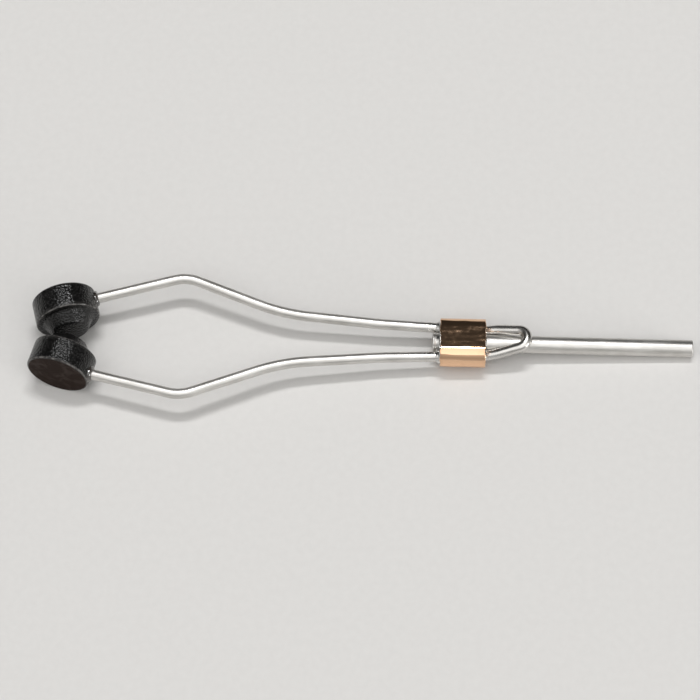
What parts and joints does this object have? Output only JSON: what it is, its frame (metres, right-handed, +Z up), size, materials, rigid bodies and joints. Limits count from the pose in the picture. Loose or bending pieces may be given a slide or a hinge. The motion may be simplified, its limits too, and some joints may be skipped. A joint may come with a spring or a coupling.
{
  "type": "fly tying bobbin holder",
  "caption": "Fly-tying bobbin holder: a steel thread tube bound by a copper collar to a hairpin of spring wire, whose sprung arms end in black coned knobs that grip a spool.",
  "frame": {"origin": "middle of the thread tube's front mouth", "axes": "+X along the thread tube and out of its tip, +Y towards the left arm, +Z up, square to the plane of the arms"},
  "size_m": [0.0968, 0.0206, 0.0094],
  "materials": {
    "steel": "drawn, satin bright",
    "copper": "polished copper",
    "solder": "flowed silver solder",
    "black_plastic": "fine moulded grain",
    "glue": "set glue, glossy"
  },
  "bodies": {
    "frame": {"thread_tube": "steel", "collar": "copper", "collar_solder": "solder", "hairpin_wire": "steel"},
    "left_arm": {"left_arm_wire": "steel", "left_knob": "black_plastic", "left_glue_bead": "glue"},
    "right_arm": {"right_arm_wire": "steel", "right_knob": "black_plastic", "right_glue_bead": "glue"}
  },
  "joints": [
    {"name": "left_arm_flex", "type": "hinge", "parent": "frame", "child": "left_arm", "pos_m": [-0.03707, 0.00312, 0], "axis": [0, 0, -1], "range_deg": [0, 12], "stiffness_Nm_per_rad": 2.1},
    {"name": "right_arm_flex", "type": "hinge", "parent": "frame", "child": "right_arm", "pos_m": [-0.03707, -0.00312, 0], "axis": [0, 0, 1], "range_deg": [0, 12], "stiffness_Nm_per_rad": 2.1}
  ]
}
